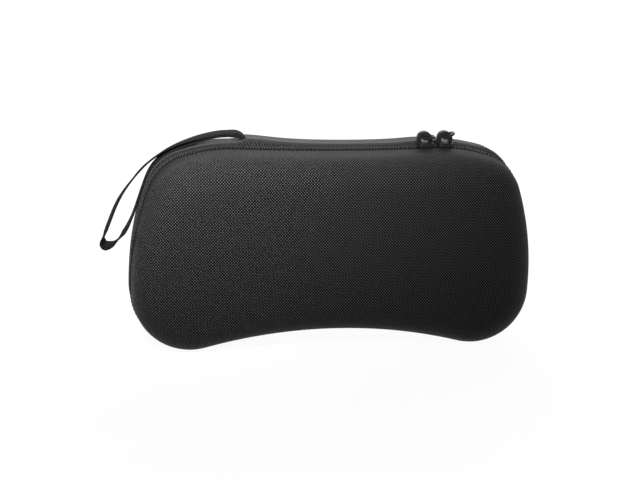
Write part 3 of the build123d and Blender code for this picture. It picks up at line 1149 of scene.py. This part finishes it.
@dataclass
class Zip:
    """Tapes sewn into the rims, with the coil's teeth that meet in the middle."""

    rim: Rim
    tape_inset: float = 2.3 * MM
    tape_thickness: float = 0.6 * MM
    tape_split: float = 0.06 * MM
    tape_reach: float = 14.7 * MM
    tape_end: float = 53 * MM
    tape_steps: int = 320
    coil_end: float = 56.6 * MM
    tooth_pitch: float = 1.8 * MM
    tooth_reach: float = 5.4 * MM
    tooth_overlap: float = 0.5 * MM
    tooth_width: float = 1.0 * MM
    tooth_height: float = 1.5 * MM
    tooth_slant: float = 0.34
    tooth_lift: float = 1.0 * MM
    tooth_drop: float = 0.9 * MM
    tooth_rest: float = 1.05
    tooth_girth: Pair = (1.1, 0.8)
    tooth_steps: int = 9
    coil_top: float = 0.05 * MM

    def span(self, end: float) -> Pair:
        """Ways along the outline at which a strip starts and stops that is open within end of the middle."""
        way = Outline().lower_way(end)
        return way, self.rim.length[-1] - way

    def build_tape(self, side: Side, material: Material) -> Piece:
        """Makes a flat band along the outline, with a rectangle as its section.

        Args:
            side: The half that the tape is sewn to.
            material: Material of the tape.

        Returns:
            The piece.
        """
        way = np.linspace(*self.span(self.tape_end), self.tape_steps)
        spots = self.rim.at(way)
        y = np.array([self.tape_split, self.tape_reach, self.tape_reach, self.tape_split, self.tape_split])
        lower = self.tape_inset + self.tape_thickness
        inset = np.array([self.tape_inset, self.tape_inset, lower, lower, self.tape_inset])
        points = np.stack([spots.place(i, side.value * j) for i, j in zip(inset, y)], axis=1)
        piece = make_piece(f"{side.word}_woven_tape", [Patch.tube(points, way, y)], [material])
        return settle(piece, side.body, "zip_tape", f"{side.word}_zip_tape")

    def tooth(self, side: Side) -> Patch:
        """One loop of the coil: a bar across the zip, thick at its head and bent down to the tape.

        Its middle line leans along the zip by slant, and its height falls with the sixth power of the
        way to the tape. Its girth goes evenly from the head to the tape, and closes at both ends.

        Args:
            side: The half that the tooth belongs to.

        Returns:
            The patch.
        """
        share = np.linspace(0, 1, self.tooth_steps)
        length = self.tooth_reach + self.tooth_overlap
        y = share * length - self.tooth_overlap
        fall = np.clip(share * self.tooth_rest, 0, 1) ** 6 * self.tooth_drop
        path = np.stack([(share - 0.5) * length * self.tooth_slant, y * side.value, -fall], axis=-1)
        around = np.linspace(0, 2 * math.pi, self.tooth_steps)
        head, tail = self.tooth_girth
        girth = np.sqrt(np.clip(1 - (2 * share - 1) ** 6, 0, 1)) * (head + (tail - head) * share)
        thick = np.stack([np.cos(around) * self.tooth_width / 2, np.sin(around) * self.tooth_height / 2], -1)
        offset = np.stack([thick[:, 0], np.zeros(self.tooth_steps), thick[:, 1]], axis=-1)
        return Patch.grid(path[:, None] + girth[:, None, None] * offset)

    def build_coil(self, shell: Shell, material: Material) -> Piece:
        """Makes teeth at an even pitch, half a pitch apart on the two sides, that lift with a swelled rim.

        Args:
            shell: The half that the teeth are sewn to.
            material: Material of the teeth.

        Returns:
            The piece.
        """
        side = shell.side
        start, stop = self.span(self.coil_end)
        shift = 0.25 * self.tooth_pitch * (1 + side.value)
        margin = 0.5 * self.tooth_pitch
        way = np.arange(start + margin + shift, stop - margin, self.tooth_pitch)
        spots = self.rim.at(way)
        origins = spots.place(self.coil_top + self.tooth_height / 2, 0.0)
        upward = np.clip(spots.outward()[:, 2], 0, 1)
        lift = self.tooth_lift * upward * bool(shell.bulges) + shell.swell(origins[:, 0], upward)
        across = Y_AXIS + (lift / self.tooth_reach)[:, None] * side.value * spots.outward()
        axes = np.stack([spots.forward(), across, spots.outward()], axis=1)
        piece = make_piece(f"{side.word}_coil_teeth", [self.tooth(side).repeated(origins, axes)], [material])
        return settle(piece, side.body, "zip_coil", f"{side.word}_zip_coil")


@dataclass
class Binding:
    """Folded tape that covers a sewn edge inside the case."""

    side: Side
    rim: Rim
    inset: float = 3.7 * MM
    middle: float = 11 * MM
    width: float = 7.4 * MM
    thickness: float = 1.0 * MM

    def build(self, material: Material) -> Piece:
        """Carries a band with round edges round the whole outline.

        Args:
            material: Material of the band.

        Returns:
            The piece.
        """
        loop = rounded_bar(self.width, self.thickness, SOFT_EDGE * self.thickness)
        path = self.rim.place(self.inset, self.side.value * self.middle)
        points = sweep(path, Y_AXIS, self.rim.outward(), loop)
        uv = np.stack(np.broadcast_arrays(self.rim.length[:, None], travel(loop)), axis=-1)
        node = f"{self.side.word}_binding"
        piece = make_piece(f"{node}_tape", [Patch.grid(points, uv)], [material])
        return settle(piece, self.side.body, "binding_cloth", node)


@dataclass
class Spine:
    """Cloth strip along the lower edge on which the lid turns."""

    rim: Rim
    half_length: float = 52 * MM
    inset: float = Zip.tape_inset
    thickness: float = Zip.tape_thickness
    sewn_reach: float = Zip.tape_reach
    free_reach: float = 6.9 * MM
    steps: int = 80

    def build(self, material: Material) -> Piece:
        """Makes a flat strip sewn into both rims, with a free part between them.

        Args:
            material: Material of the strip.

        Returns:
            The piece.
        """
        way = Outline().lower_way(self.half_length)
        lengths = np.linspace(-way, way, self.steps)
        spots = self.rim.at(lengths)
        reach = np.array([self.sewn_reach, self.free_reach, -self.free_reach, -self.sewn_reach])
        y = np.concatenate([reach, reach[::-1], reach[:1]])
        inset = self.inset + self.thickness * np.array([0, 0, 0, 0, 1, 1, 1, 1, 0])
        points = np.stack([spots.place(i, j) for i, j in zip(inset, y)], axis=1)
        piece = make_piece("spine_strip", [Patch.tube(points, lengths, y)], [material])
        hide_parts("hinge_strip")
        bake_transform(piece)
        log.info("%s bends between base and lid", piece.name)
        return piece


@dataclass
class WristStrap:
    """Loop of thin webbing that leaves its tab on the base and comes back to it."""

    width: float = 10 * MM
    thickness: float = 1.2 * MM
    edge: float = 0.576 * MM
    y: float = 13 * MM
    length: float = 0.242
    resolution: int = 14
    turns: tuple[Pair, ...] = (
        (0.0, 0.0), (0.06, 0.0), (0.10, 2.0), (0.14, 8.0), (0.18, 13.0), (0.22, 16.0),
        (0.28, 16.0), (0.34, 10.0), (0.38, 4.0), (0.42, 1.0), (0.46, 1.0), (0.475, 4.0),
        (0.488, 12.0), (0.502, 24.0), (0.512, 22.0), (0.524, 9.0), (0.541, -10.0), (0.552, -15.0),
        (0.562, -10.0), (0.576, -1.0), (0.60, -2.0), (0.62, -5.0), (0.86, -5.0), (0.92, 0.0),
        (1.0, 0.0),
    )
    route: tuple[Pair, ...] = (
        (-62.1, 135.0), (-69.0, 135.5), (-78.1, 134.1), (-87.6, 131.8), (-97.2, 128.7), (-106.7, 124.3),
        (-116.4, 117.1), (-121.6, 112.3), (-128.0, 104.2), (-133.7, 96.2), (-137.8, 88.3), (-140.8, 80.3),
        (-143.5, 72.8), (-145.7, 67.2), (-146.4, 64.0), (-145.3, 61.1), (-142.3, 61.1), (-138.2, 62.6),
        (-134.6, 67.2), (-131.2, 72.0), (-128.6, 77.6), (-126.2, 84.0), (-123.6, 92.2), (-121.2, 100.0),
        (-117.4, 110.9), (-111.5, 118.6), (-103.8, 123.8), (-93.5, 127.6), (-82.8, 131.4), (-74.0, 133.75),
        (-65.6, 133.8),
    )

    def line(self) -> Array:
        """Lays the smooth curve that has the route as its control points.

        Returns:
            Points of the curve.
        """
        flat = np.array(self.route) * MM
        count = len(flat)
        points = np.stack([flat[:, 0], np.full(count, self.y), flat[:, 1], np.ones(count)], axis=-1)
        curve = bpy.data.curves.new("strap_route", "CURVE")
        curve.dimensions = "3D"
        curve.resolution_u = self.resolution
        spline = curve.splines.new("NURBS")
        spline.points.add(count - 1)
        spline.points.foreach_set("co", points.ravel())
        spline.order_u = 3
        spline.use_endpoint_u = True
        bare = bpy.data.objects.new("strap_route", curve)
        mesh = bpy.data.meshes.new_from_object(bare)
        line = np.zeros(len(mesh.vertices) * 3)
        mesh.vertices.foreach_get("co", line)
        bpy.data.meshes.remove(mesh)
        bpy.data.objects.remove(bare)
        bpy.data.curves.remove(curve)
        return line.reshape(-1, 3)

    def build(self, webbing: Material) -> Piece:
        """Carries a flat band along the line, turned about it by the angles given over shares of its length.

        Args:
            webbing: Material of the band.

        Returns:
            The piece.
        """
        line = self.line()
        way = travel(line)
        flat_up = np.cross(headings(line), Y_AXIS)
        shares, angles = np.array(self.turns).T
        turn = np.radians(np.interp(way / way[-1], shares, angles))[:, None]
        side = Y_AXIS * np.cos(turn) + flat_up * np.sin(turn)
        up = flat_up * np.cos(turn) - Y_AXIS * np.sin(turn)
        loop = rounded_bar(self.width, self.thickness, self.edge)
        band = Patch.tube(sweep(line, side, up, loop), way, loop[:, 0])
        piece = make_piece("wrist_strap_webbing", [band], [webbing])
        settle(piece, "base", "strap_webbing", "wrist_strap")
        return piece


@dataclass
class StrapAnchor:
    """Doubled end of the strap's webbing, bent down into the base's upper wall."""

    start_x: float = -66.5 * MM
    bend_x: float = -63.5 * MM
    level: float = 134.5 * MM
    bend: Pair = (6.7 * MM, 5.3 * MM)
    bend_angle: float = math.radians(84)
    steps: int = 18
    y: float = WristStrap.y
    width: float = 10.6 * MM
    thickness: float = 2.8 * MM
    edge: float = 0.6 * MM

    def build(self, webbing: Material) -> Piece:
        """Carries a flat bar along a level line that goes over into the arc of an ellipse.

        Args:
            webbing: Material of the bar.

        Returns:
            The piece.
        """
        angle = np.linspace(0, self.bend_angle, self.steps)
        across, down = self.bend
        x = np.append(self.start_x, self.bend_x + across * np.sin(angle))
        z = np.append(self.level, self.level - down * (1 - np.cos(angle)))
        path = np.stack([x, np.full_like(x, self.y), z], axis=-1)
        loop = rounded_bar(self.width, self.thickness, self.edge)
        points = sweep(path, Y_AXIS, np.cross(headings(path), Y_AXIS), loop)
        piece = make_piece("strap_tab", [Patch.tube(points, travel(path), loop[:, 0])], [webbing])
        return settle(piece, "base", "strap_webbing", "strap_anchor")


@dataclass
class NetPocket:
    """Net stretched across the lower part of the lid, with an elastic hem along its upper edge."""

    rim: Rim
    y: float = -16.9 * MM
    inset: float = 5.3 * MM
    belly: float = 0.8 * MM
    top: float = 81 * MM
    hem_low: float = 80 * MM
    hem_width: float = 8 * MM
    hem_thickness: float = 1.9 * MM
    hem_reach: Pair = (120.6 * MM, 118.9 * MM)
    gather: float = 0.25 * MM
    gather_pitch: float = 5.2 * MM
    flat: Pair = (0.249, 0.076)
    area: float = 0.0168
    columns: int = 161
    rows: int = 33
    hem_columns: int = 281

    def build(self, net: Material, elastic: Material) -> Piece:
        """Ruled sheet between the lid's lower wall and a level line, bellied towards the inside.

        A point is mixed from the wall's point and the level line's by the share of the way up. It stands
        out by the belly times 4 s (1 - s) over that share s, and by the same over the width.

        Args:
            net: Material of the net.
            elastic: Material of its hem.

        Returns:
            The net.
        """
        walls = self.rim.inset(self.inset)
        reach = self.rim.length[int(np.argmax(walls[:, 1] > self.top))]
        wall = self.rim.at(np.linspace(-reach, reach, self.columns)).inset(self.inset)
        x = np.linspace(wall[0, 0], wall[-1, 0], self.columns)
        level = np.stack([x, np.full_like(x, self.top)], axis=-1)
        up = np.linspace(0, 1, self.rows)[:, None, None]
        flat = wall * (1 - up) + level * up
        across = np.linspace(0, 1, self.columns)
        y = self.y + self.belly * 16 * (up * (1 - up))[..., 0] * across * (1 - across)
        points = np.stack([flat[..., 0], y, flat[..., 1]], axis=-1)
        piece = make_piece("pocket_net", [Patch.grid(points, flat)], [net])
        settle(piece, "lid", "net_cloth", "mesh_pocket")
        hem = self.build_hem(elastic)
        return piece

    def build_hem(self, elastic: Material) -> Piece:
        """Carries a round-edged bar across the lid, gathered so that its thickness goes as a cosine.

        Args:
            elastic: Material of the bar.

        Returns:
            The hem.
        """
        loop = rounded_bar(self.hem_thickness, self.hem_width, SOFT_EDGE * self.hem_thickness)
        low, high = self.hem_reach
        x = np.linspace(-low, low, self.hem_columns)
        middle = self.hem_low + self.hem_width / 2
        path = np.stack([x, np.full_like(x, self.y), np.full_like(x, middle)], axis=-1)
        wave = self.gather * (np.cos(2 * math.pi * x / self.gather_pitch) - 1) / self.hem_thickness
        points = sweep(path, Y_AXIS * (1 + wave)[:, None], Z_AXIS, loop)
        points[..., 0] *= 1 + (high / low - 1) * (points[..., 2] - self.hem_low) / self.hem_width
        piece = make_piece("pocket_hem_elastic", [Patch.tube(points, x, loop[:, 1])], [elastic])
        return settle(piece, "lid", "hem_elastic", "pocket_hem")


@dataclass
class HoldingBand:
    """Elastic band on the inside of the back, in two halves that close on each other with two pads."""

    width: float = 37.6 * MM
    thickness: float = 1.0 * MM
    lower_y: float = 31.2 * MM
    upper_y: float = 28.3 * MM
    lower_span: Pair = (32 * MM, 76 * MM)
    upper_span: Pair = (58 * MM, 106 * MM)
    step_span: Pair = (84 * MM, 94 * MM)
    pad_size: Pair = (34 * MM, 16 * MM)
    pad_round: float = 2 * MM
    pad_height: float = 67 * MM
    pad_thickness: float = 0.8 * MM
    loop_y: float = 30.2 * MM
    hook_y: float = 29.3 * MM
    lower_steps: int = 12
    upper_steps: int = 60

    def half(self, name: str, z: Array, y: Array, elastic: Material) -> Piece:
        """One half: a flat bar with round edges, carried up the back.

        Args:
            name: Name of the node that the half stands for.
            z: Heights of its line.
            y: Distances of its line from the zip's middle.
            elastic: Its material.

        Returns:
            The piece.
        """
        path = np.stack([np.zeros_like(z), y, z], axis=-1)
        loop = rounded_bar(self.width, self.thickness, SOFT_EDGE * self.thickness)
        points = sweep(path, X_AXIS, np.cross(headings(path), X_AXIS), loop)
        piece = make_piece(f"{name}_elastic", [Patch.tube(points, travel(path), loop[:, 0])], [elastic])
        return settle(piece, "base", "band_elastic", name)

    def pad(self, node: str, slot: str, y: float, pile: Material) -> Piece:
        """Thin plate with round corners, closed by drawing its two faces together in their middles.

        Args:
            node: Name of the node that the pad stands for.
            slot: Name of its finish's slot.
            y: Distance of its middle from the zip's middle.
            pile: Its material.

        Returns:
            The piece.
        """
        loop = rounded_bar(*self.pad_size, self.pad_round)
        depth = y + np.array([-0.5, 0.5]) * self.pad_thickness
        path = np.stack([np.zeros(2), depth, np.full(2, self.pad_height)], axis=-1)
        points = capped(sweep(path, X_AXIS, Z_AXIS, loop))
        piece = make_piece(f"{node}_face", [Patch.grid(points, points[..., [0, 2]])], [pile])
        return settle(piece, "base", slot, node)

    def build(self, elastic: Material, loops: Material, hooks: Material) -> None:
        """Makes both halves and both pads; the upper half eases down to the back over its step.

        Args:
            elastic: Material of the halves.
            loops: Material of the loop pad.
            hooks: Material of the hook pad.
        """
        low = np.linspace(*self.lower_span, self.lower_steps)
        self.half("lower_holding_strap", low, np.full_like(low, self.lower_y), elastic)
        high = np.linspace(*self.upper_span, self.upper_steps)
        y = self.upper_y + (self.lower_y - self.upper_y) * eased(high, *self.step_span)
        self.half("upper_holding_strap", high, y, elastic)
        self.pad("loop_pad", "loop_pile", self.loop_y, loops)
        self.pad("hook_pad", "hook_rows", self.hook_y, hooks)


@dataclass
class MetalParts:
    """The cast sliders, their pulls and the zip's end stops, kept from the frame with softened edges."""

    nodes: tuple[str, ...] = ("left_slider", "right_slider", "left_pull", "right_pull", "zip_end_stops")
    edge: float = 0.22 * MM
    edge_steps: int = 3
    edge_angle: float = math.radians(30)
    joint: float = 1e-6

    def dress(self, enamel: Material) -> None:
        """Gives the nodes their enamel and rounds their edges.

        Args:
            enamel: Material of the nodes.
        """
        for name in self.nodes:
            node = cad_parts[name]
            node.data.materials.clear()
            node.data.materials.append(enamel)
            weld = node.modifiers.new("joined", "WELD")
            weld.merge_threshold = self.joint
            bevel = node.modifiers.new("soft_edges", "BEVEL")
            bevel.width = self.edge
            bevel.segments = self.edge_steps
            bevel.limit_method = "ANGLE"
            bevel.angle_limit = self.edge_angle
            bevel.harden_normals = True
            log.info("%s keeps its form", name)


@dataclass(frozen=True)
class Lamp:
    """Square area lamp, with its power in watts and its spread in degrees."""

    name: str
    place: Point
    size: float
    power: float
    aim: Point
    spread: float = 180.0

    def build(self) -> None:
        """Puts the lamp at its place, facing its aim."""
        data = bpy.data.lights.new(self.name, "AREA")
        data.size = self.size
        data.energy = self.power
        data.spread = math.radians(self.spread)
        lamp = bpy.data.objects.new(self.name, data)
        lamp.location = self.place
        lamp.rotation_mode = "QUATERNION"
        lamp.rotation_quaternion = (Vector(self.aim) - Vector(self.place)).to_track_quat("-Z", "Y")
        bpy.context.scene.collection.objects.link(lamp)


@dataclass
class Studio:
    """Floor, light and camera."""

    target: Point = (0, 0, 0.066)
    yaw: float = math.radians(-11.783)
    elevation: float = math.radians(18)
    roll: float = math.radians(2.744)
    distance: float = 1.04496
    focal_pixels: float = 1612.4
    frame_width: float = 640
    shift_pixels: Pair = (11.137, 0.777)
    sensor: float = 36.0
    ambient: float = 0.2
    lamps: tuple[Lamp, ...] = (
        Lamp("key", (-0.19, -0.52, 0.51), 0.12, 3.0, (-0.152, -0.036, 0.370), 64.0),
        Lamp("back", (0.2, 1.0, 0.8), 0.9, 6.2, (0.0, 0.0, 0.06)),
    )
    floor_reach: float = 6.0
    floor_steps: int = 9
    floor_colour: Colour = (0.86, 0.86, 0.86)
    floor_roughness: float = 0.9
    floor_light: float = 1.12
    floor_glow: float = 0.85

    def camera(self) -> None:
        """Camera at the photograph's angle: it stands off the target along its own back direction."""
        yaw, rise = self.yaw, self.elevation
        back = Vector((math.sin(yaw) * math.cos(rise), -math.cos(yaw) * math.cos(rise), math.sin(rise)))
        right = Vector((math.cos(yaw), math.sin(yaw), 0))
        up = back.cross(right)
        across = right * math.cos(self.roll) + up * math.sin(self.roll)
        above = up * math.cos(self.roll) - right * math.sin(self.roll)
        data = bpy.data.cameras.new("camera")
        data.sensor_width = self.sensor
        data.lens = self.focal_pixels * self.sensor / self.frame_width
        data.shift_x = -self.shift_pixels[0] / self.frame_width
        data.shift_y = self.shift_pixels[1] / self.frame_width
        camera = bpy.data.objects.new("camera", data)
        turn = Matrix((across, above, back)).transposed().to_4x4()
        camera.matrix_world = Matrix.Translation(Vector(self.target) + back * self.distance) @ turn
        bpy.context.scene.collection.objects.link(camera)
        bpy.context.scene.camera = camera

    def world(self) -> None:
        """Makes a world that is white to the camera and in reflections, and a plain soft light all round."""
        world = bpy.data.worlds.new("studio")
        graph = Graph(world)
        plain = graph.node("ShaderNodeBackground", None, {0: WHITE, 1: self.ambient})
        white = graph.node("ShaderNodeBackground", None, {0: WHITE, 1: 1.0})
        graph.show("World Output", graph.seen(), plain, white)
        bpy.context.scene.world = world

    def floor(self) -> None:
        """Makes a pale level floor that the camera sees as white outside the case's shadow."""
        graph = Graph("pale_floor")
        pale = graph.shade(Base_Color=rgba(self.floor_colour), Roughness=self.floor_roughness)
        light = graph.node("ShaderNodeEmission", None, {0: WHITE, 1: self.floor_light})
        graph.show("Material Output", graph.seen() * self.floor_glow, graph.shader, light)
        side = np.linspace(-self.floor_reach, self.floor_reach, self.floor_steps)
        x, y = np.meshgrid(side, side)
        floor = make_piece("floor", [Patch.grid(np.stack([x, y, np.zeros_like(x)], axis=-1))], [pale])

    def build(self) -> None:
        """Sets the stage."""
        bpy.context.scene.view_settings.view_transform = "Standard"
        self.camera()
        self.world()
        for lamp in self.lamps:
            lamp.build()
        self.floor()


def build_case() -> None:
    """Builds and dresses the case's sub-assemblies in order."""
    rim = Outline().rim()
    cloth, lining = BallisticCloth().material(), KnitLining().material()
    # Near-black thread: the lid's wide stitch row stands for its stitches and also for the painted shadow in
    # the gap between the lid's rim and the zip.
    thread = CoilNylon("sewing_thread_seam_shadow", (0.003, 0.003, 0.0032), (0.74, 0.9), 0.02).material()
    nylon = CoilNylon().material()
    tape = RibbedTape("zip_tape_twill", (0.007, 0.007, 0.0075), 0.7 * MM, 0.5 * MM, slant=0.5).material()
    binding = RibbedTape("binding_grosgrain", (0.022, 0.022, 0.023), 0.8 * MM, 2.4 * MM).material()
    grosgrain = RibbedTape("spine_grosgrain", (0.026, 0.027, 0.028), 0.9 * MM, 3.0 * MM).material()
    webbing = RibbedTape("strap_webbing", (0.0115, 0.0115, 0.012), 0.8 * MM, 1.1 * MM, gloss=0.04).material()
    hem = RibbedTape("hem_elastic", (0.024, 0.024, 0.025), 1.3 * MM, 0.7 * MM).material()
    band = RibbedTape("band_elastic", (0.027, 0.027, 0.028), 1.6 * MM, 0.9 * MM).material()
    loops = ClosingPile("loop_pile", (0.020, 0.020, 0.021), 0.6 * MM, 0.3 * MM).material()
    hooks = ClosingPile("hook_rows", (0.018, 0.018, 0.019), 1.1 * MM, 0.4 * MM).material()
    enamel = BlackEnamel().material()
    swells = (
        Bulge(-56 * MM, 3.2 * MM, left=2.5 * MM, right=17 * MM),
        Bulge(57 * MM, 1.1 * MM, left=9 * MM, right=9 * MM),
        Bulge(115 * MM, 3.6 * MM, left=10 * MM, right=18 * MM),
    )
    lid = Shell(Side.LID, rim, round_radius=20 * MM)
    base = Shell(
        Side.BASE,
        rim,
        round_radius=16 * MM,
        bulges=swells,
        press_reach=(26 * MM, 40 * MM),
        # The base's painted rim highlight runs up the whole wall.
        rim_highlight_reach=40 * MM,
    )
    closure = Zip(rim)
    for shell in (lid, base):
        shell.build(cloth, lining)
        Binding(shell.side, rim).build(binding)
        closure.build_tape(shell.side, tape)
        closure.build_coil(shell, nylon)
    lid.stitch(thread)
    Spine(rim).build(grosgrain)
    WristStrap().build(webbing)
    StrapAnchor().build(webbing)
    NetPocket(rim).build(PocketNet().material(), hem)
    HoldingBand().build(band, loops, hooks)
    MetalParts().dress(enamel)


def main() -> None:
    """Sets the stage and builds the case."""
    logging.basicConfig(level=logging.INFO, format="%(message)s")
    Studio().build()
    build_case()


if __name__ == "__main__":
    main()
